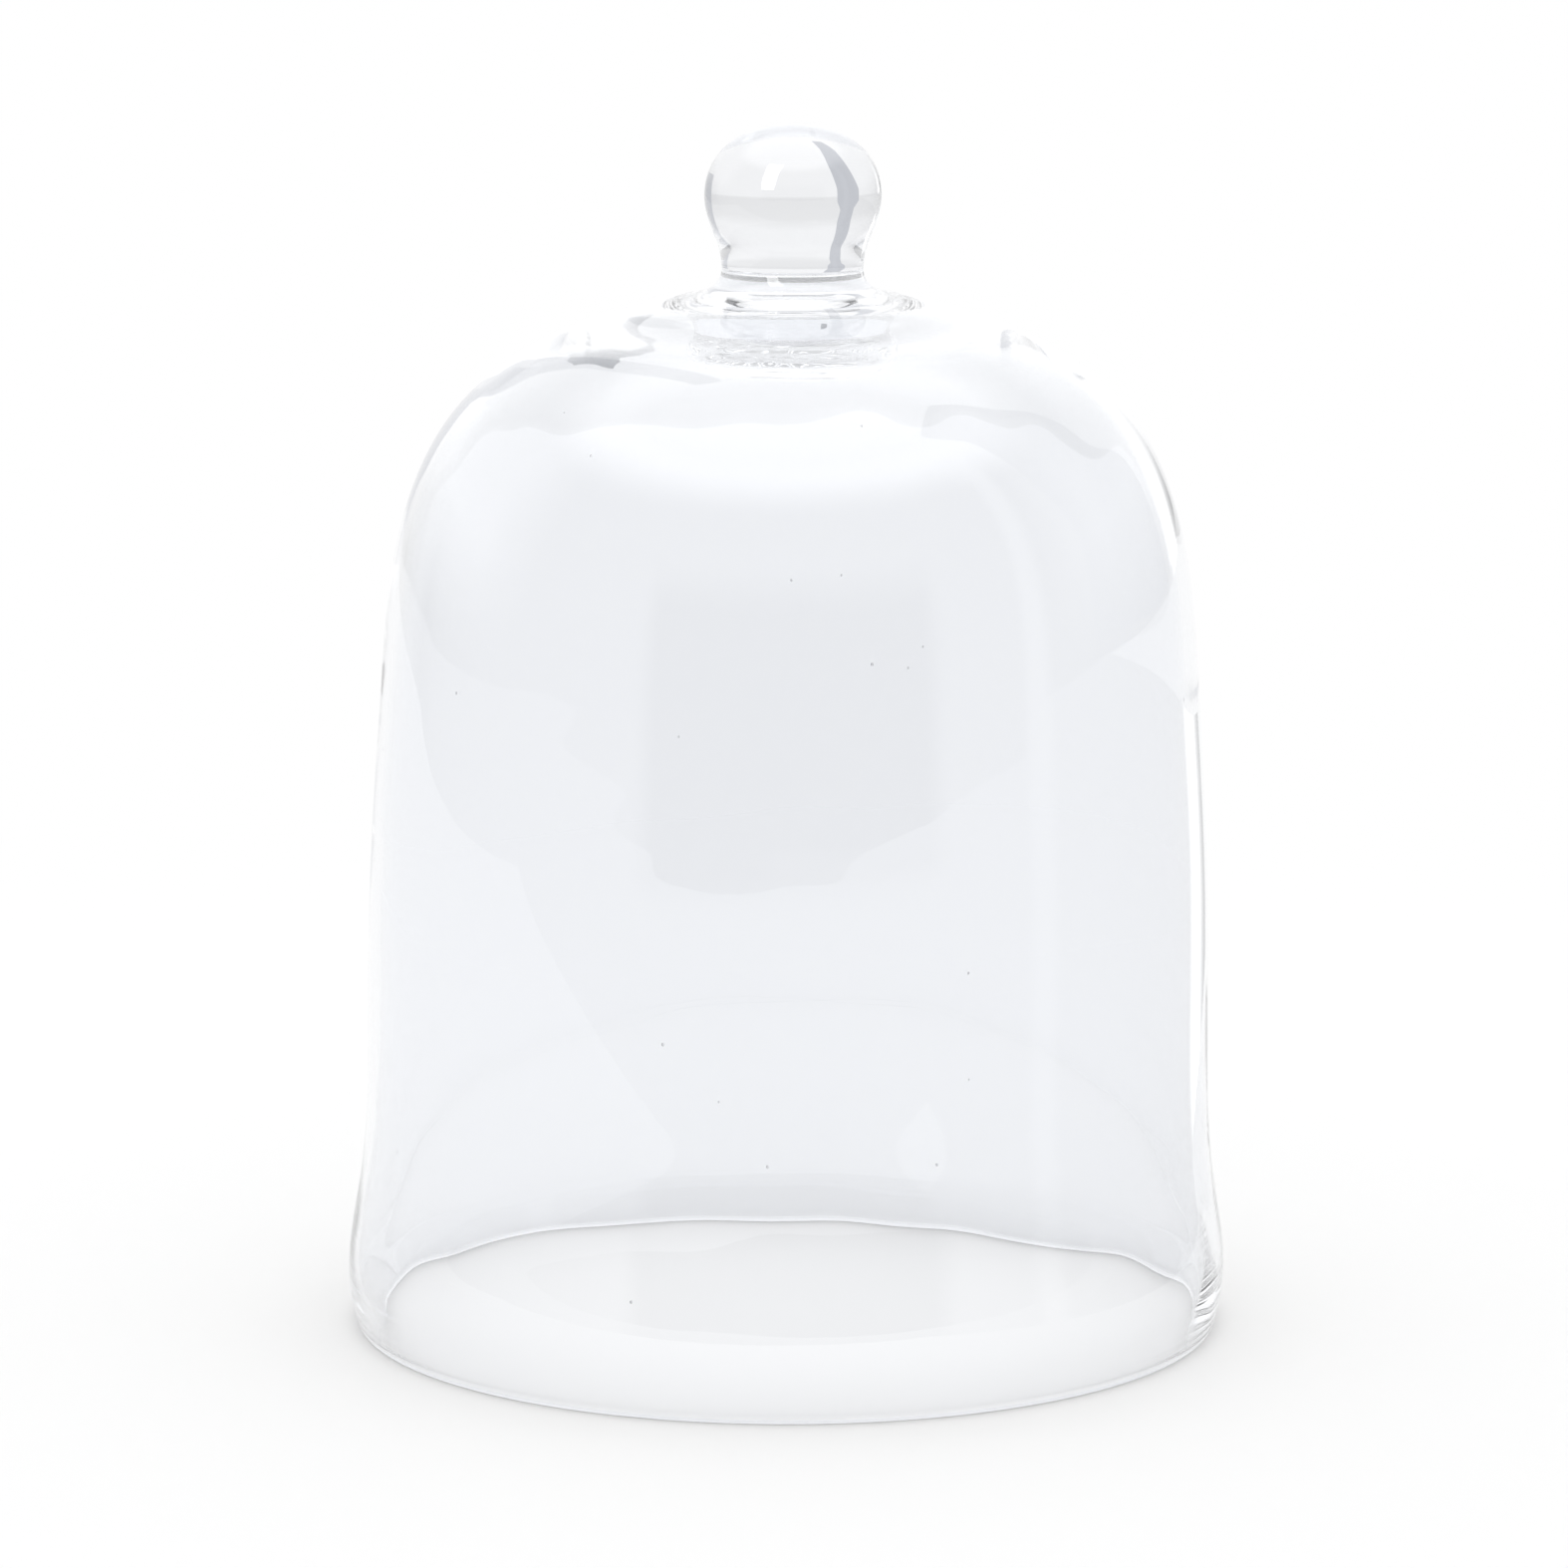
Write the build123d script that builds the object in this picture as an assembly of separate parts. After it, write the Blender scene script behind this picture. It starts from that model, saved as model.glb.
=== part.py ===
from build123d import *
import os

# Bell jar dome: a hand-blown bell of clear glass with an open, flared foot, and
# a solid glass knob to lift it by. Sizes are in millimetres and +Z is up. The
# origin is the centre of the ring that the rim rests on.
#
# Every outline is drawn with x as the distance from the axis and y as the
# height, and is then turned once about the Z axis.

# ---------------------------------------------------------------------- rim
rim_radius = 99.7           # outside of the rim, just above its rounded edge
rim_thickness = 3.2         # fire polishing leaves the rim thicker than the wall
rim_rounding = 1.1          # on both sides of the narrow ring that it rests on
rim_lean = 17.0             # degrees by which the foot leans outward above the rim

# --------------------------------------------------------- barrel and crown
crown_edge = (20.5, 239.0)  # where the crown runs into the hollow of the neck
crown_slope = 11.0          # degrees from level at that place
barrel_points = [           # radius and height
    (101.5, 10.0),          # widest part of the foot
    (99.0, 34.0),           # end of the foot's flare
    (97.1, 65.0),
    (96.4, 105.0),          # middle of the barrel
    (93.8, 148.0),
    (89.0, 186.0),          # start of the shoulder
    (76.4, 212.4),
    (54.1, 229.0),          # crown
    crown_edge,
]

# ------------------------------------------------------- neck collar and knob
seat_height = 240.0         # level joint between the bell and the neck collar
neck_hollow = 5.4           # radius of the hollow from the crown up to the neck
total_height = 277.0
ball_points = [             # radius and height
    (17.2, 250.0),          # underside
    (19.0, 254.6),
    (20.1, 261.2),          # widest part
    (17.6, 269.3),
    (10.2, 275.1),
]

# ---------------------------------------------------------- glass thickness
barrel_wall = 2.3           # thinnest wall, half way up the barrel
crown_wall = 5.0            # at the foot of the neck
rim_fall = 20               # how fast the rim's thickness dies away above it
crown_rise = 6              # how late the crown's thickness begins
wall_steps = 24             # places at which the wall is measured in from the outside
ceiling_height = 234.0      # level underside of the bell's closed end
pad_radius = 24.5           # lump of glass that hangs under the crown
pad_points = [              # radius and height
    (22.9, 228.5),
    (20.5, 224.3),
    (15.0, 222.0),          # edge of its flattened underside
]
pad_bottom = 221.5
pad_edge_angle = 80.0       # degrees from level at which the pad leaves the ceiling


def heading(degrees_from_level):
    """Unit vector at an angle above the outward direction."""
    return Vector(1, 0).rotate(Axis.Z, degrees_from_level)


def turned(edges):
    """One solid, turned about the Z axis from a closed outline."""
    return revolve(Plane.XZ * make_face(edges), axis=Axis.Z)


def smooth(points, first_heading, last_heading):
    """A fair curve through a few points, with its two end directions given."""
    return Spline(*points, tangents=[first_heading, last_heading], tangent_scalars=[1, 1])


def wall(place):
    """Wall thickness at a share of the way up the barrel line."""
    rim_part = (rim_thickness - barrel_wall) * (1 - place) ** rim_fall
    return barrel_wall + rim_part + (crown_wall - barrel_wall) * place**crown_rise


def inside(outer_line, place):
    """The point that lies a wall's thickness inside the outer line."""
    along = outer_line % place
    return outer_line @ place + Vector(-along.Y, along.X) * wall(place)


# The hollow starts in line with the crown and ends upright at the neck.
hollow_centre = Vector(*crown_edge) + heading(90 - crown_slope) * neck_hollow
neck_height = hollow_centre.Y
neck_radius = hollow_centre.X - neck_hollow
seat_radius = hollow_centre.X - (neck_hollow**2 - (neck_height - seat_height) ** 2) ** 0.5
print("neck radius", round(neck_radius, 2), "at height", round(neck_height, 2))
print("seat radius", round(seat_radius, 2), "at height", seat_height)


def dome_shell():
    """The blown bell, with its closed end under the knob and its open foot."""
    rim_inner_radius = rim_radius - rim_thickness
    ring_inside = (rim_inner_radius + rim_rounding, 0)
    ring_outside = (rim_radius - rim_rounding, 0)
    outer_edge = JernArc(ring_outside, (1, 0), rim_rounding, 90 - rim_lean)
    barrel = smooth([outer_edge @ 1, *barrel_points], outer_edge % 1, heading(180 - crown_slope))
    hollow = RadiusArc(crown_edge, (seat_radius, seat_height), neck_hollow)
    inner_edge = JernArc(ring_inside, (-1, 0), rim_rounding, -90 - rim_lean)
    cavity_points = [inside(barrel, step / wall_steps) for step in range(1, wall_steps - 1)]
    cavity_points = [inner_edge @ 1, *cavity_points, (pad_radius, ceiling_height)]
    cavity = smooth(cavity_points, inner_edge % 1, heading(180))
    return turned(
        [
            Line(ring_inside, ring_outside),
            outer_edge,
            barrel,
            hollow,
            Line(hollow @ 1, (0, seat_height)),
            Line((0, seat_height), (0, ceiling_height)),
            Line((0, ceiling_height), cavity @ 1),
            cavity,
            inner_edge,
        ]
    )


def crown_pad():
    """The thick pad that the knob's heat and weight leave under the crown."""
    edge = (pad_radius, ceiling_height)
    lens = smooth([edge, *pad_points, (0, pad_bottom)], heading(180 + pad_edge_angle), heading(180))
    return turned([lens, Line(lens @ 1, (0, ceiling_height)), Line((0, ceiling_height), lens @ 0)])


def neck_collar():
    """The waist that is pulled in with jacks between the bell and the knob."""
    hollow = RadiusArc((seat_radius, seat_height), (neck_radius, neck_height), neck_hollow)
    return turned(
        [
            hollow,
            Line((neck_radius, neck_height), (0, neck_height)),
            Line((0, neck_height), (0, seat_height)),
            Line((0, seat_height), (seat_radius, seat_height)),
        ]
    )


def knob():
    """The solid ball of glass that the bell is lifted by."""
    waist = (neck_radius, neck_height)
    ball = smooth([waist, *ball_points, (0, total_height)], heading(90), heading(180))
    return turned(
        [
            ball,
            Line((0, total_height), (0, neck_height)),
            Line((0, neck_height), (neck_radius, neck_height)),
        ]
    )


os.makedirs("parts", exist_ok=True)
pieces = {
    "dome_shell": dome_shell(),
    "crown_pad": crown_pad(),
    "neck_collar": neck_collar(),
    "knob": knob(),
}
for name, piece in pieces.items():
    export_step(piece, f"parts/{name}.step")
    print(name, "volume", round(piece.volume), "size", piece.bounding_box().size)
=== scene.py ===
# %% [markdown]
# # Bell jar dome
#
# The object is a bell of clear glass, blown by mouth, with a flared foot that is open below and a solid
# glass knob on top. It stands over a displayed thing and keeps dust off it.
#
# Clear glass has almost no colour of its own. It is seen by what it bends, what it mirrors and where its
# thickness changes. So this lesson puts its effort into three things: true outlines with a true wall between
# them, the small waves that a blown wall has, and a studio with dark and light parts for the glass to mirror.
#
# The CAD model is loaded first. It stays where it is, and every piece below takes its size from it.

# %% Load the CAD frame
import math

import bpy
import numpy as np
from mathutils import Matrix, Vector


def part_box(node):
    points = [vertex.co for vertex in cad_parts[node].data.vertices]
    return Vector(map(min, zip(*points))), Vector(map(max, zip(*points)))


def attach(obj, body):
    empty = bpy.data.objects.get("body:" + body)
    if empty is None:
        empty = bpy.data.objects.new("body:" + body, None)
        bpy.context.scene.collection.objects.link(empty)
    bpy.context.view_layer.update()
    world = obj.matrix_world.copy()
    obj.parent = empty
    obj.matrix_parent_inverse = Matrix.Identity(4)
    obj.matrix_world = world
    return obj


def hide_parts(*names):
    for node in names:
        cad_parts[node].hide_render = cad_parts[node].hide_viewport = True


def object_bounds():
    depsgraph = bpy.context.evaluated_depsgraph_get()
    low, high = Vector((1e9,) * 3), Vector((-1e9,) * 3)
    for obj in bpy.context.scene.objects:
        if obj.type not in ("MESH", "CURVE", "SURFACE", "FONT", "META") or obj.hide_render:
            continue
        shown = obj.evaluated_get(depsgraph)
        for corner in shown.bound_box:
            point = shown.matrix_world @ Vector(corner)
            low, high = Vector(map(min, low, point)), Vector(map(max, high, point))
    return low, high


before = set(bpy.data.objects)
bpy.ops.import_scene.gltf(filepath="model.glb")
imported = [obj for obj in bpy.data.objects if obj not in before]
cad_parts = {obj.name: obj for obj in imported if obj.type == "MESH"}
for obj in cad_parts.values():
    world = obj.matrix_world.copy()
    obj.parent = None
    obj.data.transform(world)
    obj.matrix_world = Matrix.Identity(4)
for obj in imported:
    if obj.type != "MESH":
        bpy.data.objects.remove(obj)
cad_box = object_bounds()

MM = 0.001
FULL_TURN = 2 * math.pi
total_height = cad_box[1].z
foot_radius = cad_box[1].x
print("bell height", round(total_height / MM, 1), "mm, foot radius", round(foot_radius / MM, 1), "mm")

# %% [markdown]
# ## Reading the outlines
#
# Every CAD piece was turned about the Z axis, so each of its corner points gives a radius and a height that
# lie exactly on its outline. Seen from a point on the axis inside the piece, its inner and outer lines are
# each crossed only once in any direction, so sorting the points by that direction puts them in order.
# A mesh could also be cut with a plane, but that leaves the small flats of the CAD mesh in the line, and
# glass shows every flat as a bright or dark band.

# %% Read an outline and space its points
CORNER_SPACING = 0.4 * MM  # corner points nearer to each other than this count as one
SEAM_ZONE = 1.5 * MM       # stretch at each end of a line where its points crowd together
SEAM_POINTS = 8
RIM_SPACING = 0.25 * MM
ZONE_GAP = 0.1 * MM        # room left between two zones


def outline(node, facing):
    """Radius and height along a CAD piece's line, from low to high.

    facing is 1 for the piece's outside and -1 for its inside.
    """
    low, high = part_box(node)
    middle = 0.5 * (low.z + high.z)
    corners = np.array([v.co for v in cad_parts[node].data.vertices])
    normals = np.array([v.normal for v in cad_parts[node].data.vertices])
    radius = np.hypot(corners[:, 0], corners[:, 1])
    seen = np.sum(normals * (corners - [0, 0, middle]), axis=1)
    keep = (seen * facing > 0) & (radius > CORNER_SPACING)
    line = np.column_stack([radius[keep], corners[keep, 2]])
    line = line[np.argsort(np.arctan2(line[:, 1] - middle, line[:, 0]))]
    kept = [line[0]]
    for point in line[1:]:
        if np.hypot(*(point - kept[-1])) > CORNER_SPACING:
            kept.append(point)
    kept[-1] = line[-1]
    return np.array(kept)


def spaced(line, spacing, rim_zone=0.0):
    """A smooth curve through the same points, with its own points spacing apart.

    They are closer at both ends, and in a rim zone at the start, where the line bends most.
    """
    length = np.concatenate([[0], np.cumsum(np.hypot(*np.diff(line, axis=0).T))])
    heading = np.gradient(line, length, axis=0)
    total = length[-1]
    seam = SEAM_ZONE * np.linspace(0, 1, SEAM_POINTS) ** 2
    rim = np.arange(SEAM_ZONE, rim_zone, RIM_SPACING)
    middle = np.linspace(0, total, round(total / spacing))
    middle_from = max(SEAM_ZONE, rim_zone) + ZONE_GAP
    middle_to = total - SEAM_ZONE - ZONE_GAP
    middle = middle[(middle > middle_from) & (middle < middle_to)]
    wanted = np.concatenate([seam, rim[1:], middle, (total - seam)[::-1]])
    before = np.clip(np.searchsorted(length, wanted) - 1, 0, len(length) - 2)
    span = (length[before + 1] - length[before])[:, None]
    t = (wanted - length[before])[:, None] / span
    start, end = line[before], line[before + 1]
    bend = heading[before] * span * t * (1 - t) ** 2 - heading[before + 1] * span * t**2 * (1 - t)
    return start + (end - start) * t**2 * (3 - 2 * t) + bend


shell_outside = outline("dome_shell", 1)
shell_inside = outline("dome_shell", -1)
collar_outside = outline("neck_collar", 1)
knob_outside = outline("knob", 1)
print("outline points:", len(shell_outside), "outside,", len(shell_inside), "inside")

# %% [markdown]
# ## The glassmaker's hand
#
# A bell that is blown and turned on a pipe is never quite true. It leans a little, its wall is thicker on one
# side, and the tools leave low waves that run round it and along it. They are only tenths of a millimetre
# deep, but each one is a weak lens. A bump texture could fake them, but only a real difference between the
# inner and the outer surface bends what is seen through the wall. So the waves go into the mesh, as sums of
# smooth cosines whose phases come from a fixed seed.

# %% Waves and the lean of the whole bell
LEAN = 1.7 * MM        # sideways shift of the knob against the foot
STILL_HEIGHT = 0.35    # share of the height that the lean leaves in place
OUT_OF_ROUND = 0.25 * MM
OVAL_PHASE = 0.6       # turns the oval, in radians
OVAL_RADIUS = 60 * MM  # from this radius on the oval is whole


def waves(angle, along, seed, lobes, wave_length, count=18):
    """A smooth random field of about unit size. lobes is the range of waves round the bell."""
    chance = np.random.default_rng(seed)
    field = 0.0
    for _ in range(count):
        turns = chance.integers(*lobes)
        rise = chance.choice([-1, 1]) * FULL_TURN / (wave_length * chance.uniform(0.7, 1.8))
        field = field + np.cos(turns * angle + rise * along + chance.uniform(0, FULL_TURN))
    return field / math.sqrt(count / 2)


def fade(value, start, end):
    """0 up to start, 1 from end on, and smooth between."""
    t = np.clip((value - start) / (end - start), 0, 1)
    return t * t * (3 - 2 * t)


def lean_and_sag(points):
    """What the whole bell does as one body: it leans to one side and is slightly oval."""
    x, y, z = points.T
    radius = np.maximum(np.hypot(x, y), 1e-9)
    oval = OUT_OF_ROUND * np.cos(2 * np.arctan2(y, x) + OVAL_PHASE) * fade(radius, 0, OVAL_RADIUS)
    grow = 1 + oval / radius
    return np.column_stack([x * grow + LEAN * (z / total_height - STILL_HEIGHT), y * grow, z])


print("the top leans", round(LEAN * (1 - STILL_HEIGHT) / MM, 2), "mm to one side")

# %% [markdown]
# ## Turning an outline into glass
#
# A closed outline is turned round the axis into rings of points, and neighbouring rings are joined with
# faces. Blender's Screw modifier does the same, but here every ring point can first be moved in or out along
# the outline's own normal, so the waves of the inner and outer surfaces stay separate.
#
# The level faces where two masses of hot glass were joined don't exist on the real object: the glass is one
# there. Each piece is still closed by such a face, and the face gets a material that light passes unchanged.

# %% The turning helpers
def turned(line, steps, push=0.0):
    """Points of an outline turned round the axis. push first moves them along the outline's own normal."""
    angle = np.linspace(0, FULL_TURN, steps, endpoint=False)[None, :]
    along = np.gradient(line, axis=0)
    along = along / np.maximum(np.hypot(*along.T), 1e-12)[:, None]
    radius = line[:, :1] + along[:, 1:] * push + 0 * angle
    height = line[:, 1:] - along[:, :1] * push + 0 * angle
    return np.stack([radius * np.cos(angle), radius * np.sin(angle), height], axis=2)


def closed_skin(rings):
    """Points and faces of a closed skin whose first and last rings have shrunk to a point on the axis."""
    steps = rings.shape[1]
    points = np.vstack([rings[0, :1], rings[1:-1].reshape(-1, 3), rings[-1, :1]])
    here = 1 + np.arange((len(rings) - 2) * steps).reshape(-1, steps)
    beside = np.roll(here, -1, axis=1)
    quads = np.stack([here[:-1], beside[:-1], beside[1:], here[1:]], axis=2).reshape(-1, 4)
    first = [(0, b, a) for a, b in zip(here[0].tolist(), beside[0].tolist())]
    last = [(len(points) - 1, a, b) for a, b in zip(here[-1].tolist(), beside[-1].tolist())]
    return lean_and_sag(points), first, quads.tolist(), last


def glass_piece(name, line, steps, finish, fused_low, fused_high, push=0.0, voids=None):
    """A closed glass object.

    fused_low and fused_high say whether its first and last faces are joints inside the glass. push moves its
    rings, and voids are the points and faces of the bubbles in it.
    """
    points, first, sides, last = closed_skin(turned(line, steps, push))
    faces = first + sides + last
    fused = np.zeros(len(faces), bool)
    fused[: len(first)] = fused_low
    fused[len(faces) - len(last) :] = fused_high
    if voids is not None:
        shift = len(points)
        points = np.vstack([points, voids[0]])
        faces += [tuple(i + shift for i in face) for face in voids[1]]
        fused = np.concatenate([fused, np.zeros(len(voids[1]), bool)])
    mesh = bpy.data.meshes.new(name)
    mesh.from_pydata(points.tolist(), [], faces)
    mesh.materials.append(finish)
    mesh.materials.append(fused_joint)
    mesh.polygons.foreach_set("material_index", fused.astype(np.int32))
    mesh.polygons.foreach_set("use_smooth", ~fused)
    mesh.update()
    piece = bpy.data.objects.new(name, mesh)
    bpy.context.scene.collection.objects.link(piece)
    print(name, "has", len(faces), "faces")
    return piece


small_ring = turned(np.array([[foot_radius, 0.0], [foot_radius, total_height]]), 4)[0]
print("a ring of four points, in mm:", (small_ring / MM).round(1).tolist())

# %% [markdown]
# ## Colours and nodes
#
# Colours are chosen as sRGB hex values, as on a paint card, and one function turns them into the linear
# values that the renderer works in. A second small function adds a shader node with its settings and links.
# Materials could be set up by hand in the node editor, but in code their numbers can have names.

# %% Two helpers for materials
def linear(hex_colour):
    """Linear RGBA from an sRGB hex value such as "f4f6fa"."""
    parts = [int(hex_colour[i : i + 2], 16) / 255 for i in (0, 2, 4)]
    return [c / 12.92 if c <= 0.04045 else ((c + 0.055) / 1.055) ** 2.4 for c in parts] + [1.0]


def add(tree, kind, settings=None, links=None, stops=()):
    """A new node. settings go to its properties or its sockets, and links joins its sockets to outputs.

    stops are the places and greys of its colour ramp, where it has one.
    """
    node = tree.nodes.new(kind)
    for place, _ in stops[1:-1]:
        node.color_ramp.elements.new(place)
    for stop, (place, grey) in zip(node.color_ramp.elements if stops else [], stops):
        stop.position = place
        stop.color = (grey, grey, grey, 1)
    for key, value in (settings or {}).items():
        if isinstance(key, str) and hasattr(node, key):
            setattr(node, key, value)
        else:
            node.inputs[key].default_value = value
    for key, output in (links or {}).items():
        tree.links.new(output, node.inputs[key])
    return node


def new_material(name):
    """An empty material that is made of nodes, and its node tree."""
    material = bpy.data.materials.new(name)
    material.use_nodes = True
    material.node_tree.nodes.clear()
    return material, material.node_tree


WHITE = linear("ffffff")
print("a pale paper in linear light:", [round(part, 3) for part in linear("f4f6fa")])

# %% [markdown]
# ## Blown and worked soda-lime glass
#
# The bell is soda-lime glass, the common glass of windows and bottles, blown and then fire polished. A fire-
# polished surface was last liquid, so it is as smooth as water and mirrors sharply. Soda-lime glass bends
# light with an index of about 1.52 and mirrors about 4 percent of what meets it head on. Good clear batches
# have a very faint cool tint, seen only through several walls.
#
# A fire-polished skin still keeps faint ripples, a few thousandths of a millimetre deep and some millimetres
# long, from the turning of the pipe. They are too small for the mesh, so a noise bump draws them. Glass that
# was worked with jacks, as the neck and the knob were, has shorter ones.
#
# A renderer's lamps can't reach the floor through sharp glass in any sensible time. So for rays that only ask
# whether a lamp is seen, the glass becomes clear and takes away what its two surfaces would mirror. The rim
# takes away more, because a real rim throws its light aside and leaves a thin soft shadow along itself.

# %% Glass materials
SODA_LIME_IOR = 1.52
TINT = "f8f9fb"            # the faint cool tint of a good clear batch
RIPPLE_DEPTH = 0.004 * MM
BLOWN_RIPPLE = 9 * MM      # length of the ripples on the blown wall
TOOLED_RIPPLE = 6 * MM     # length of the ripples on the worked top
RIM_SHADOW_HEIGHT = 5 * MM
RIM_LIGHT = 0.70           # share of the light that passes at the rim


def clear_glass(name, tint, wave_depth, wave_length):
    """Fire-polished glass. wave_depth and wave_length are the size of its ripples, in metres."""
    material, tree = new_material(name)
    place = add(tree, "ShaderNodeTexCoord")
    ripple = add(tree, "ShaderNodeTexNoise", {"Scale": 1 / wave_length, "Detail": 1.5, "Roughness": 0.4},
                 {"Vector": place.outputs["Object"]})
    bump = add(tree, "ShaderNodeBump", {"Strength": 1.0, "Distance": wave_depth},
               {"Height": ripple.outputs["Fac"]})
    glass = add(tree, "ShaderNodeBsdfPrincipled",
                {"Base Color": linear(tint), "Roughness": 0.0, "IOR": SODA_LIME_IOR,
                 "Transmission Weight": 1.0},
                {"Normal": bump.outputs["Normal"]})
    slant = add(tree, "ShaderNodeLayerWeight", {"Blend": 0.5})
    steep = add(tree, "ShaderNodeMath", {"operation": "POWER", 1: 5.0}, {0: slant.outputs["Facing"]})
    passed = add(tree, "ShaderNodeMapRange", {"To Min": 1.0, "To Max": 0.0}, {"Value": steep.outputs[0]})
    height = add(tree, "ShaderNodeSeparateXYZ", {}, {0: place.outputs["Object"]})
    at_rim = add(tree, "ShaderNodeMapRange", {"From Max": RIM_SHADOW_HEIGHT, "To Min": RIM_LIGHT},
                 {"Value": height.outputs["Z"]})
    passed_all = add(tree, "ShaderNodeMath", {"operation": "MULTIPLY"},
                     {0: passed.outputs[0], 1: at_rim.outputs[0]})
    clear = add(tree, "ShaderNodeBsdfTransparent", {}, {"Color": passed_all.outputs[0]})
    path = add(tree, "ShaderNodeLightPath")
    either = add(tree, "ShaderNodeMath", {"operation": "MAXIMUM"},
                 {0: path.outputs["Is Shadow Ray"], 1: path.outputs["Is Diffuse Ray"]})
    choice = add(tree, "ShaderNodeMixShader", {},
                 {0: either.outputs[0], 1: glass.outputs[0], 2: clear.outputs[0]})
    add(tree, "ShaderNodeOutputMaterial", {}, {"Surface": choice.outputs[0]})
    return material


blown_glass = clear_glass("blown_soda_lime_glass", TINT, RIPPLE_DEPTH, BLOWN_RIPPLE)
worked_glass = clear_glass("tooled_soda_lime_glass", TINT, RIPPLE_DEPTH, TOOLED_RIPPLE)

# Where two hot masses were fused there is no surface, so the eye sees nothing there.
fused_joint, joint_tree = new_material("fused_glass_joint")
joint_clear = add(joint_tree, "ShaderNodeBsdfTransparent", {"Color": WHITE})
add(joint_tree, "ShaderNodeOutputMaterial", {}, {"Surface": joint_clear.outputs[0]})
print("glass materials:", blown_glass.name, worked_glass.name, fused_joint.name)

# %% [markdown]
# ## The blown bell
#
# The bell's wall is one closed skin: from the middle of its ceiling down the inside, round the rim and up the
# outside to the seat of the neck. The outer surface follows the CAD outline with only faint waves. The inner
# surface carries most of the unevenness, because a blower's moulds and blocks only ever touch the outside.

# %% The bell's outline and its waves
SHELL_STEPS = 320
SHELL_SPACING = 1.2 * MM
RIM_ZONE = 5 * MM

inside_line = spaced(shell_inside, SHELL_SPACING, RIM_ZONE)
outside_line = spaced(shell_outside, SHELL_SPACING, RIM_ZONE)
ceiling, seat = inside_line[-1, 1], outside_line[-1, 1]
bell_line = np.vstack([[0, ceiling], inside_line[::-1], outside_line[1:], [0, seat]])
is_inside = (np.arange(len(bell_line)) <= len(inside_line))[:, None]

shell_angle = np.linspace(0, FULL_TURN, SHELL_STEPS, endpoint=False)[None, :]
ring_radius, ring_height = bell_line[:, :1], bell_line[:, 1:]
ring_along = ring_height + np.maximum(0, foot_radius - ring_radius)
calm = fade(ring_radius, 40 * MM, 88 * MM) * fade(ring_height, 1 * MM, 12 * MM)

BROAD_WAVE = 0.12 * MM     # the wall is thicker on one side than on the other
STREAK_WAVE = 0.030 * MM   # long streaks up the wall, from drawing the bubble out
RING_WAVE = 0.012 * MM     # low rings, from turning the pipe
FOOT_WAVE = 0.030 * MM     # short waves near the foot, from flaring it
OUTER_WAVE = 0.012 * MM
inner_push = (BROAD_WAVE * waves(shell_angle, ring_along, 11, (1, 4), 160 * MM)
              + STREAK_WAVE * waves(shell_angle, ring_along, 12, (8, 26), 220 * MM)
              + RING_WAVE * waves(shell_angle, ring_along, 13, (0, 3), 22 * MM)
              + FOOT_WAVE * waves(shell_angle, ring_along, 15, (9, 20), 90 * MM)
              * (1 - fade(ring_height, 30 * MM, 70 * MM)))
outer_push = OUTER_WAVE * waves(shell_angle, ring_along, 14, (3, 12), 60 * MM)
bell_push = calm * np.where(is_inside, inner_push, outer_push)
print("rings in the bell:", len(bell_line), "largest wave", round(abs(bell_push).max() / MM, 2), "mm")

# %% [markdown]
# ## Seeds
#
# Seeds are the tiny bubbles that blown glass keeps. A bubble is a hole in the glass, so its skin is part of
# the bell's own mesh and faces into the hole. Each one is drawn out a little along the way that the bell was
# blown. Small spheres of air laid over the wall would be simpler, but they would refract the wrong way.

# %% Seeds in the wall
SEED_STEPS = 10
SEED_STRETCH = 1.6
seed_chance = np.random.default_rng(21)

# Each place is an angle round the bell, in degrees, and a height, in mm.
seed_places = [(0, 184), (7, 185), (11, 166), (16, 165), (-20, 26)]
seed_places += [(12, 215), (-34, 208), (24, 98), (-9, 71)]
seed_places += [(seed_chance.uniform(0, 360), seed_chance.uniform(15, 215)) for _ in range(14)]


def seed(side_degrees, height, radius):
    """A small bubble in the middle of the wall. side_degrees is 0 at the front and grows to the right."""
    outer = np.interp(height, outside_line[:, 1], outside_line[:, 0])
    inner = np.interp(height, inside_line[:, 1], inside_line[:, 0])
    turn = math.radians(side_degrees - 90)
    middle = np.array([math.cos(turn), math.sin(turn), 0]) * (outer + inner) / 2 + [0, 0, height]
    level = np.linspace(-math.pi / 2, math.pi / 2, SEED_STEPS // 2 + 1)[1:-1, None]
    angle = np.linspace(0, FULL_TURN, SEED_STEPS, endpoint=False)[None, :]
    x = np.cos(level) * np.cos(angle)
    y = np.cos(level) * np.sin(angle)
    z = SEED_STRETCH * np.sin(level) + 0 * angle
    belt = np.stack([x, y, z], 2)
    ball = np.vstack([[[0, 0, -SEED_STRETCH]], belt.reshape(-1, 3), [[0, 0, SEED_STRETCH]]])
    here = 1 + np.arange(belt.shape[0] * SEED_STEPS).reshape(-1, SEED_STEPS)
    beside = np.roll(here, -1, axis=1)
    belt_faces = np.stack([here[:-1], here[1:], beside[1:], beside[:-1]], 2).reshape(-1, 4)
    faces = [(0, a, b) for a, b in zip(here[0].tolist(), beside[0].tolist())]
    faces += [tuple(face) for face in belt_faces.tolist()]
    faces += [(len(ball) - 1, b, a) for a, b in zip(here[-1].tolist(), beside[-1].tolist())]
    return middle + ball * radius, faces


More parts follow.
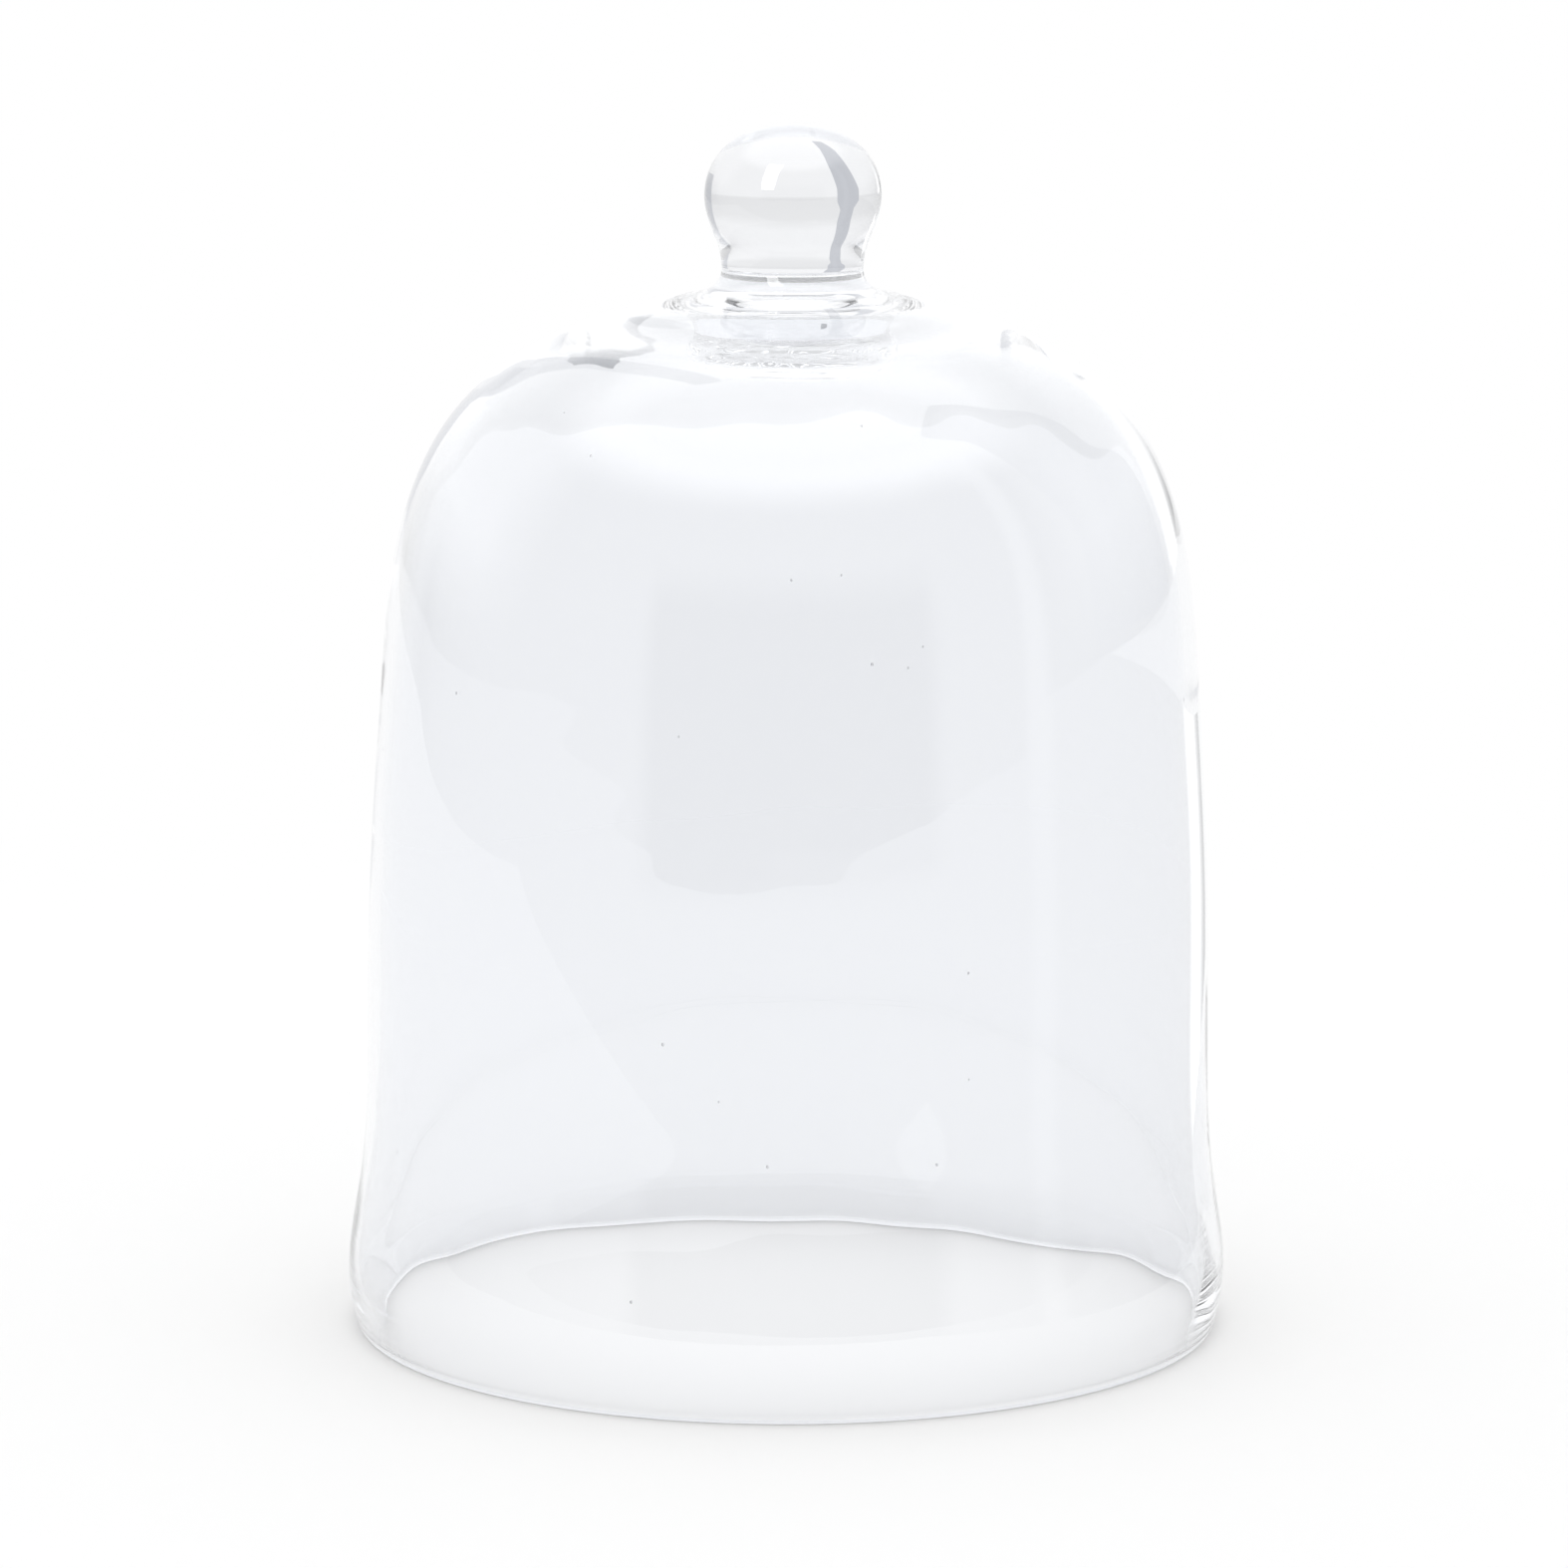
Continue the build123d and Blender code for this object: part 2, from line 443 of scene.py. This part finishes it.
void_points, void_faces = [], []
for side_degrees, height in seed_places:
    points, faces = seed(side_degrees, height * MM, seed_chance.uniform(0.16, 0.30) * MM)
    shift = sum(len(p) for p in void_points)
    void_points.append(points)
    void_faces += [tuple(i + shift for i in face) for face in faces]
voids = (lean_and_sag(np.vstack(void_points)), void_faces)
print("seeds:", len(seed_places))

# %% [markdown]
# ## Making the bell
#
# Everything for the wall is ready: its line, its waves and its seeds. It becomes one mesh, closed everywhere,
# as a renderer needs to know which side of each face is glass. A thin sheet thickened by a modifier would
# close too, but its wall would have one thickness. The mesh stands in for the CAD shell from here on.

# %% Make the bell
blown_bell = glass_piece("blown_bell", bell_line, SHELL_STEPS, blown_glass, True, True, bell_push, voids)
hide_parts("dome_shell")
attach(blown_bell, "root")

# %% [markdown]
# ## The solid top
#
# Above and below the middle of the crown sits glass that was gathered and pressed on hot: a pad that bulges
# down into the bell, a drawn neck and the ball of the knob. Being solid, they act as strong lenses.
#
# They could be one mesh, as they are one mass of glass. Three are made, so that each stands for its own CAD
# piece, and their points lie closer together than the bell's, since a lens shows every flat.

# %% Make the pad, the neck and the knob
SOLID_STEPS = 256
SOLID_SPACING = 0.35 * MM

pad_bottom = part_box("crown_pad")[0].z
pad_side = spaced(np.vstack([[0, pad_bottom], outline("crown_pad", 1)]), SOLID_SPACING)
pad_line = np.vstack([pad_side, [0, pad_side[-1, 1]]])
crown_pad = glass_piece("crown_pad_glass", pad_line, SOLID_STEPS, worked_glass, False, True)

collar_line = spaced(collar_outside, SOLID_SPACING)
neck_line = np.vstack([[0, collar_line[0, 1]], collar_line, [0, collar_line[-1, 1]]])
drawn_neck = glass_piece("drawn_neck", neck_line, SOLID_STEPS, worked_glass, True, True)

ball_line = spaced(np.vstack([knob_outside, [0, total_height]]), SOLID_SPACING)
knob_line = np.vstack([[0, ball_line[0, 1]], ball_line])
knob_ball = glass_piece("knob_ball", knob_line, SOLID_STEPS, worked_glass, True, False)

for piece, node in ((crown_pad, "crown_pad"), (drawn_neck, "neck_collar"), (knob_ball, "knob")):
    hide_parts(node)
    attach(piece, "root")

# %% [markdown]
# ## The floor
#
# Glass on white is lit from behind: the ground and the wall are brighter than anything that the glass can
# mirror, so its walls show as faint grey and its edges as darker lines. The floor is a wide white board. A
# plane from Blender's menu would do, but a round one has no corners that a low view could catch.

# %% The board
FLOOR_RADIUS = 6.0
FLOOR_STEPS = 128
FLOOR_DROP = 0.05 * MM  # keeps the rim and the board from sharing a surface

floor_angle = np.linspace(0, FULL_TURN, FLOOR_STEPS, endpoint=False)
floor_points = [(FLOOR_RADIUS * math.cos(a), FLOOR_RADIUS * math.sin(a), -FLOOR_DROP) for a in floor_angle]
floor_mesh = bpy.data.meshes.new("studio_floor")
floor_mesh.from_pydata(floor_points, [], [list(range(FLOOR_STEPS))])
studio_floor = bpy.data.objects.new("studio_floor", floor_mesh)
bpy.context.scene.collection.objects.link(studio_floor)
print("floor radius", FLOOR_RADIUS, "m")

# %% [markdown]
# ## The board's paint
#
# Near the bell the board is plain matte paint, which scatters light evenly and shows nothing but the bell's
# soft shadow. Further off it slowly becomes a board that glows, as if lit from below, and runs into the white
# background without a line. A lamp on a painted board would need a very large studio for the same evenness.

# %% Board paint
PAINT_TO = 0.30   # the paint is plain up to this distance, in metres
GLOW_FROM = 0.70  # and only glow is left from here on

matte_white, floor_tree = new_material("matte_white_painted_board")
floor_place = add(floor_tree, "ShaderNodeTexCoord")
from_bell = add(floor_tree, "ShaderNodeVectorMath", {"operation": "LENGTH"},
                {0: floor_place.outputs["Object"]})
far_share = add(floor_tree, "ShaderNodeMapRange",
                {"interpolation_type": "SMOOTHSTEP", "From Min": PAINT_TO, "From Max": GLOW_FROM},
                {"Value": from_bell.outputs["Value"]})
board = add(floor_tree, "ShaderNodeBsdfDiffuse", {"Color": linear("f0f0f0")})
glow = add(floor_tree, "ShaderNodeEmission", {"Color": WHITE, "Strength": 1.0})
lit = add(floor_tree, "ShaderNodeMixShader", {},
          {0: far_share.outputs[0], 1: board.outputs[0], 2: glow.outputs[0]})
floor_mesh.materials.append(matte_white)
print("the paint fades into the glow from", PAINT_TO, "to", GLOW_FROM, "m")

# %% [markdown]
# ## Where the board ends
#
# A real board ends somewhere, and the bell mirrors what lies past it: the darker room. The board here ends
# in front of the bell, on its left and on its right. In plain view the whole board stays, and only light
# that was mirrored by the bell's outer skin sees its edges. Far in front, all mirrored light sees past the
# board. A smaller board would give the same mirror image, but its edges would show in plain view too.

# %% Edges of the board, in metres
FRONT_EDGE = -0.37
LEFT_EDGE = -1.50
RIGHT_EDGE = 0.24
RIGHT_EDGE_END = 1.0
FAR_FRONT = -1.8
ONCE = 0.5  # a count of mirrorings or crossings above this is at least one

axes = add(floor_tree, "ShaderNodeSeparateXYZ", {}, {0: floor_place.outputs["Object"]})
past_front = add(floor_tree, "ShaderNodeMath", {"operation": "LESS_THAN", 1: FRONT_EDGE},
                 {0: axes.outputs["Y"]})
past_left = add(floor_tree, "ShaderNodeMath", {"operation": "LESS_THAN", 1: LEFT_EDGE},
                {0: axes.outputs["X"]})
past_right = add(floor_tree, "ShaderNodeMath", {"operation": "GREATER_THAN", 1: RIGHT_EDGE},
                 {0: axes.outputs["X"]})
right_front = add(floor_tree, "ShaderNodeMath", {"operation": "LESS_THAN", 1: RIGHT_EDGE_END},
                  {0: axes.outputs["Y"]})
at_right = add(floor_tree, "ShaderNodeMath", {"operation": "MULTIPLY"},
               {0: past_right.outputs[0], 1: right_front.outputs[0]})
at_side = add(floor_tree, "ShaderNodeMath", {"operation": "MAXIMUM"},
              {0: past_left.outputs[0], 1: at_right.outputs[0]})
off_board = add(floor_tree, "ShaderNodeMath", {"operation": "MAXIMUM"},
                {0: past_front.outputs[0], 1: at_side.outputs[0]})
far_front = add(floor_tree, "ShaderNodeMath", {"operation": "LESS_THAN", 1: FAR_FRONT},
                {0: axes.outputs["Y"]})
print("board edges at y", FRONT_EDGE, "m and x", LEFT_EDGE, "and", RIGHT_EDGE, "m")

# %% Who sees past the edges
floor_path = add(floor_tree, "ShaderNodeLightPath")
was_mirrored = add(floor_tree, "ShaderNodeMath", {"operation": "GREATER_THAN", 1: ONCE},
                   {0: floor_path.outputs["Glossy Depth"]})
stayed_outside = add(floor_tree, "ShaderNodeMath", {"operation": "LESS_THAN", 1: ONCE},
                     {0: floor_path.outputs["Transmission Depth"]})
on_outer_skin = add(floor_tree, "ShaderNodeMath", {"operation": "MULTIPLY"},
                    {0: was_mirrored.outputs[0], 1: stayed_outside.outputs[0]})
edge_seen = add(floor_tree, "ShaderNodeMath", {"operation": "MULTIPLY"},
                {0: off_board.outputs[0], 1: on_outer_skin.outputs[0]})
far_seen = add(floor_tree, "ShaderNodeMath", {"operation": "MULTIPLY"},
               {0: far_front.outputs[0], 1: was_mirrored.outputs[0]})
room_seen = add(floor_tree, "ShaderNodeMath", {"operation": "MAXIMUM"},
                {0: edge_seen.outputs[0], 1: far_seen.outputs[0]})
open_room = add(floor_tree, "ShaderNodeBsdfTransparent", {"Color": WHITE})
floor_look = add(floor_tree, "ShaderNodeMixShader", {},
                 {0: room_seen.outputs[0], 1: lit.outputs[0], 2: open_room.outputs[0]})
add(floor_tree, "ShaderNodeOutputMaterial", {}, {"Surface": floor_look.outputs[0]})
print("nodes in the board's material:", len(floor_tree.nodes))

# %% [markdown]
# ## The room
#
# Everything beyond the floor is the world. It is white for the camera and for matte surfaces. Glass gets two
# other rooms. Light that only bends on its way through sees a wall of light with a faint grey band at the
# height of the horizon. Light that was mirrored sees the room itself: pale walls behind, darker walls at the
# sides and towards the camera, a dark doorway where the camera stands and a bright ceiling. A real room could
# be built from boxes, but a few ramps over compass angle and height are quicker to set and free of noise.
#
# Compass angles: 0 is straight behind the bell, 90 its right side, -90 its left side, 180 the camera.

# %% Where a ray is heading
world = bpy.data.worlds.new("studio_room")
bpy.context.scene.world = world
world.use_nodes = True
room = world.node_tree
room.nodes.clear()
toward = add(room, "ShaderNodeTexCoord")
parts = add(room, "ShaderNodeSeparateXYZ", {}, {0: toward.outputs["Generated"]})
compass = add(room, "ShaderNodeMath", {"operation": "ARCTAN2"},
              {0: parts.outputs["X"], 1: parts.outputs["Y"]})
around = add(room, "ShaderNodeMapRange", {"From Min": -math.pi, "From Max": math.pi},
             {"Value": compass.outputs[0]})
slope = add(room, "ShaderNodeMath", {"operation": "ARCSINE"}, {0: parts.outputs["Z"]})
above = add(room, "ShaderNodeMapRange", {"From Min": -math.pi / 2, "From Max": math.pi / 2},
            {"Value": slope.outputs[0]})


def by_compass(*pairs):
    """Ramp stops from pairs of compass angle and brightness."""
    return [((degrees + 180) / 360, grey) for degrees, grey in pairs]


def by_height(*pairs):
    """Ramp stops from pairs of height angle and brightness."""
    return [((degrees + 90) / 180, grey) for degrees, grey in pairs]


print("compass 90 is at", by_compass((90, 1))[0][0], "of the ramp")

# %% [markdown]
# ## The mirrored room
#
# The walls are one ramp round the compass. It has a bright strip on the right, behind the bell, which draws
# the tall highlight on its side, and a thin dark strip beside it. The doorway is a second pair of ramps, and
# its mirror image is the darker patch in the middle of the bell. Behind the bell the walls grow brighter
# with height, up to a ceiling that is brighter than white, so that its faint image shows at the shoulder.

# %% The walls and the doorway
DOOR_EDGE = 139  # compass angle of the doorway's sides, in degrees
DOOR_BLUR = 3
side_walls = add(room, "ShaderNodeValToRGB", {}, {"Fac": around.outputs[0]}, by_compass(
    (-180, 0.46), (-100, 0.46), (-78, 0.50), (-64, 0.50), (-54, 0.40), (-46, 0.70), (-30, 0.75), (-18, 1.0),
    (17, 1.0), (19, 0.35), (21, 0.35), (25, 0.80), (28, 2.2), (34, 2.2), (38, 0.70), (75, 0.50), (102, 0.46),
    (105, 0.90), (110, 0.90), (113, 0.46), (180, 0.46)))
door_around = add(room, "ShaderNodeValToRGB", {}, {"Fac": around.outputs[0]}, by_compass(
    (-180, 1.0), (-DOOR_EDGE - DOOR_BLUR, 1.0), (-DOOR_EDGE + DOOR_BLUR, 0.0),
    (DOOR_EDGE - DOOR_BLUR, 0.0), (DOOR_EDGE + DOOR_BLUR, 1.0), (180, 1.0)))
door_above = add(room, "ShaderNodeValToRGB", {}, {"Fac": above.outputs[0]}, by_height(
    (-90, 0.0), (-4.5, 0.0), (-3.5, 1.0), (13, 1.0), (24, 0.0), (90, 0.0)))
door = add(room, "ShaderNodeMath", {"operation": "MULTIPLY"},
           {0: door_around.outputs["Color"], 1: door_above.outputs["Color"]})
print("the doorway is", 2 * (180 - DOOR_EDGE), "degrees wide")

# %% The back wall and the ceiling
BACK_WALL_BRIGHTNESS = 1.25
CEILING_BRIGHTNESS = 2.4
CEILING_FROM = 38  # height angles between which the walls run into the ceiling
CEILING_TO = 57
behind_around = add(room, "ShaderNodeValToRGB", {}, {"Fac": around.outputs[0]}, by_compass(
    (-180, 0.0), (-100, 0.0), (-75, 1.0), (75, 1.0), (100, 0.0), (180, 0.0)))
behind_above = add(room, "ShaderNodeValToRGB", {}, {"Fac": above.outputs[0]}, by_height(
    (-90, 0.0), (-1, 0.0), (14, 1.0), (90, 1.0)))
behind_share = add(room, "ShaderNodeMath", {"operation": "MULTIPLY"},
                   {0: behind_around.outputs["Color"], 1: behind_above.outputs["Color"]})
lit_walls = add(room, "ShaderNodeMix", {"data_type": "RGBA", 7: (BACK_WALL_BRIGHTNESS,) * 3 + (1,)},
                {0: behind_share.outputs[0], 6: side_walls.outputs["Color"]})
ceiling_share = add(room, "ShaderNodeMapRange",
                    {"interpolation_type": "SMOOTHSTEP", "From Min": 0.5 + CEILING_FROM / 180,
                     "From Max": 0.5 + CEILING_TO / 180}, {"Value": above.outputs[0]})
mirrored_room = add(room, "ShaderNodeMix", {"data_type": "RGBA", 7: (CEILING_BRIGHTNESS,) * 3 + (1,)},
                    {0: ceiling_share.outputs[0], 6: lit_walls.outputs[2]})
print("ceiling brightness", CEILING_BRIGHTNESS)

# %% [markdown]
# ## Which light sees which room
#
# The Light Path node tells how often a ray was mirrored and how often it went through a skin of glass. That
# chooses between the plain white room, the wall behind and the mirrored room. A little white haze over the
# mirrored room keeps its contrast low, more of it for light that also went inside the glass. Two lamps and a
# set of real walls could do this too, but every wall would then be lit by every lamp.

# %% Which light sees which room
HAZE_OUTSIDE = 0.10
HAZE_INSIDE = 0.30
FLOOR_LIGHT = 1.17  # strength of the white room for matte surfaces

behind = add(room, "ShaderNodeValToRGB", {}, {"Fac": above.outputs[0]}, by_height(
    (-90, 1.0), (-3, 1.0), (-1.5, 0.88), (8, 0.90), (14, 1.0), (90, 1.0)))
room_path = add(room, "ShaderNodeLightPath")
room_mirrored = add(room, "ShaderNodeMath", {"operation": "GREATER_THAN", 1: ONCE},
                    {0: room_path.outputs["Glossy Depth"]})
went_inside = add(room, "ShaderNodeMath", {"operation": "GREATER_THAN", 1: ONCE},
                  {0: room_path.outputs["Transmission Depth"]})
haze = add(room, "ShaderNodeMapRange", {"To Min": HAZE_OUTSIDE, "To Max": HAZE_INSIDE},
           {"Value": went_inside.outputs[0]})
hazy_walls = add(room, "ShaderNodeMix", {"data_type": "RGBA", 7: WHITE},
                 {0: haze.outputs[0], 6: mirrored_room.outputs[2]})
hazy_room = add(room, "ShaderNodeMix", {"data_type": "RGBA", 7: linear("404043")},
                {0: door.outputs[0], 6: hazy_walls.outputs[2]})
by_glass = add(room, "ShaderNodeMix", {"data_type": "RGBA"},
               {0: room_mirrored.outputs[0], 6: behind.outputs["Color"], 7: hazy_room.outputs[2]})
not_by_glass = add(room, "ShaderNodeMath", {"operation": "MAXIMUM"},
                   {0: room_path.outputs["Is Camera Ray"], 1: room_path.outputs["Is Diffuse Ray"]})
by_all = add(room, "ShaderNodeMix", {"data_type": "RGBA", 7: WHITE},
             {0: not_by_glass.outputs[0], 6: by_glass.outputs[2]})
strength = add(room, "ShaderNodeMapRange", {"To Min": 1.0, "To Max": FLOOR_LIGHT},
               {"Value": room_path.outputs["Is Diffuse Ray"]})
room_light = add(room, "ShaderNodeBackground", {},
                 {"Color": by_all.outputs[2], "Strength": strength.outputs[0]})
add(room, "ShaderNodeOutputWorld", {}, {"Surface": room_light.outputs[0]})
print("room nodes:", len(room.nodes))

# %% [markdown]
# ## The window
#
# A tall soft box stands for a window to the left of the camera. The ball of the knob is a small round mirror
# and shows the window as a bright spot. A bright shape in the world could do the same, but a lamp can be
# linked to chosen pieces: this one lights only the solid top, and the bell's side stays quiet. It isn't seen
# through glass, where its image would be a hard white spot in the neck.

# %% Window
WINDOW_DISTANCE = 1.6


def softbox(name, left, up, wide, tall, radiance):
    """A rectangular lamp facing the top of the bell.

    left and up are its place as angles from the front, wide and tall are its apparent size, all in degrees.
    """
    lamp = bpy.data.lights.new(name, "AREA")
    lamp.shape = "RECTANGLE"
    lamp.size = 2 * WINDOW_DISTANCE * math.tan(math.radians(wide / 2))
    lamp.size_y = 2 * WINDOW_DISTANCE * math.tan(math.radians(tall / 2))
    lamp.energy = radiance * math.pi * lamp.size * lamp.size_y
    made = bpy.data.objects.new(name, lamp)
    a, e = math.radians(left), math.radians(up)
    toward_lamp = Vector((-math.sin(a) * math.cos(e), -math.cos(a) * math.cos(e), math.sin(e)))
    made.location = Vector((0, 0, total_height)) + toward_lamp * WINDOW_DISTANCE
    made.rotation_mode = "QUATERNION"
    made.rotation_quaternion = (-toward_lamp).to_track_quat("-Z", "Y")
    made.visible_camera = False
    made.visible_transmission = False
    bpy.context.scene.collection.objects.link(made)
    return made


window_box = softbox("window_box", 34, 34, 18, 44, 6.0)
solid_top = bpy.data.collections.new("solid_top")
for piece in (crown_pad, drawn_neck, knob_ball):
    solid_top.objects.link(piece)
window_box.light_linking.receiver_collection = solid_top
print("window", round(window_box.data.size, 2), "x", round(window_box.data.size_y, 2), "m")

# %% [markdown]
# ## Dark cards
#
# Clear glass in a white room would almost vanish. Dark cards, stood just out of view, are the usual cure:
# the glass bends a thin image of each card to its own edges, where it draws the form. Each card glows with
# one even grey and has no shine: painted light, a glow that stands in for a matte card lit by the room.
#
# The grey cards are seen only by light that has passed through one mass of glass, as in the knob or along the
# edge of the wall. The slate card is seen only by light that has crossed the whole bell, through four skins.
# One card for both would put its image twice into the glass.

# %% The cards' glow
ONE_WALL = 2.5  # light that has crossed fewer skins than this has met only one mass of glass


def card_glow(name, glow_colour, unseen_when):
    """Card glow, painted light. unseen_when compares the skins crossed with ONE_WALL, and hides the card if
    true.
    """
    made, tree = new_material(name)
    path = add(tree, "ShaderNodeLightPath")
    hidden = add(tree, "ShaderNodeMath", {"operation": unseen_when, 1: ONE_WALL},
                 {0: path.outputs["Transmission Depth"]})
    # The card's face glows with its even grey: painted light standing in for a matte card lit by the room.
    face = add(tree, "ShaderNodeEmission", {"Color": linear(glow_colour), "Strength": 1.0})
    unseen = add(tree, "ShaderNodeBsdfTransparent", {"Color": WHITE})
    look = add(tree, "ShaderNodeMixShader", {},
               {0: hidden.outputs[0], 1: face.outputs[0], 2: unseen.outputs[0]})
    add(tree, "ShaderNodeOutputMaterial", {}, {"Surface": look.outputs[0]})
    return made


# Both cards glow with a fixed grey: painted light in place of lit matte cards.
glowing_grey = card_glow("glowing_grey_card", "ced0d5", "GREATER_THAN")
glowing_slate = card_glow("glowing_slate_card", "6c6f78", "LESS_THAN")
print("card paints:", glowing_grey.name, glowing_slate.name)

# %% [markdown]
# ## Cutting the cards
#
# Each card is a strip of quads, bent round the axis so that all of it is equally far from the knob. Its edges
# are set by angles, since an angle says directly where the card's image falls in the ball. A ball of glass
# turns the view round, so the bent card behind on the left makes the bent dark band on the right of the knob.

# %% The cards
CARD_DISTANCE = 0.36
CARD_FOOT = 2 * MM  # no card goes below this height
knob_middle = 0.5 * (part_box("knob")[0].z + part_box("knob")[1].z)


def card(name, finish, *stops):
    """A standing card. Each stop is a compass angle, a height angle and a width, in degrees from the knob."""
    points = []
    for compass_degrees, height_degrees, wide in stops:
        up = max(knob_middle + CARD_DISTANCE * math.tan(math.radians(height_degrees)), CARD_FOOT)
        for edge in (compass_degrees - wide / 2, compass_degrees + wide / 2):
            turn = math.radians(edge)
            points.append((CARD_DISTANCE * math.sin(turn), CARD_DISTANCE * math.cos(turn), up))
    mesh = bpy.data.meshes.new(name)
    mesh.from_pydata(points, [], [(i, i + 1, i + 3, i + 2) for i in range(0, len(points) - 2, 2)])
    mesh.materials.append(finish)
    made = bpy.data.objects.new(name, mesh)
    made.visible_camera = False
    made.visible_glossy = False
    made.visible_diffuse = False
    made.visible_shadow = False
    bpy.context.scene.collection.objects.link(made)


card("left_back_card", glowing_grey, (-13, -34, 6), (-18, -28, 9), (-22, -18, 12), (-27, -6, 15), (-27, 0, 15),
     (-26, 4, 9), (-25, 10, 9), (-26, 20, 9), (-26, 60, 9))
card("right_side_card", glowing_grey, (76, -14, 40), (76, 60, 40))
card("left_crown_card", glowing_slate, (-11, -2, 2.0), (-11, 2, 3.4), (-11, 6, 3.4), (-11, 9, 2.0))
print("cards", CARD_DISTANCE, "m from the axis")

# %% [markdown]
# ## The camera
#
# The bell is seen from a little above, by a long lens, so that its upright lines stay nearly parallel. The
# camera aims near the middle of the bell. A shorter lens close up would show more of the foot's opening and
# would make the knob look larger than it is.

# %% Camera
CAMERA_DISTANCE = 1.407
CAMERA_ELEVATION = math.radians(9.3)
CAMERA_LENS = 140.09
SENSOR_WIDTH = 36.0
AIM_SIDE = -1.03 * MM
AIM_HEIGHT = 125.3 * MM

camera_data = bpy.data.cameras.new("camera")
camera_data.lens = CAMERA_LENS
camera_data.sensor_width = SENSOR_WIDTH
camera = bpy.data.objects.new("camera", camera_data)
looked_at = Vector((AIM_SIDE, 0, AIM_HEIGHT))
backward = Vector((0, -math.cos(CAMERA_ELEVATION), math.sin(CAMERA_ELEVATION)))
camera.location = looked_at + backward * CAMERA_DISTANCE
camera.rotation_mode = "QUATERNION"
camera.rotation_quaternion = (-backward).to_track_quat("-Z", "Y")
bpy.context.scene.collection.objects.link(camera)
bpy.context.scene.camera = camera
print("camera at", [round(v, 3) for v in camera.location], "lens", CAMERA_LENS)

# %% [markdown]
# ## How far light is followed
#
# Light can be caught in a wall of glass and be mirrored along inside it many times, as in a fibre. If the
# renderer gives up on it too early, the rim, the neck and the outline turn black. So the limits are high,
# which costs little time, because few rays go that far.

# %% Bounces and view
BOUNCES = 256
scene = bpy.context.scene
scene.view_settings.view_transform = "Standard"
scene.view_settings.look = "None"
scene.cycles.max_bounces = BOUNCES
scene.cycles.transmission_bounces = BOUNCES
scene.cycles.glossy_bounces = BOUNCES
scene.cycles.transparent_max_bounces = BOUNCES
scene.cycles.use_denoising = True
print("light is followed for", BOUNCES, "steps")
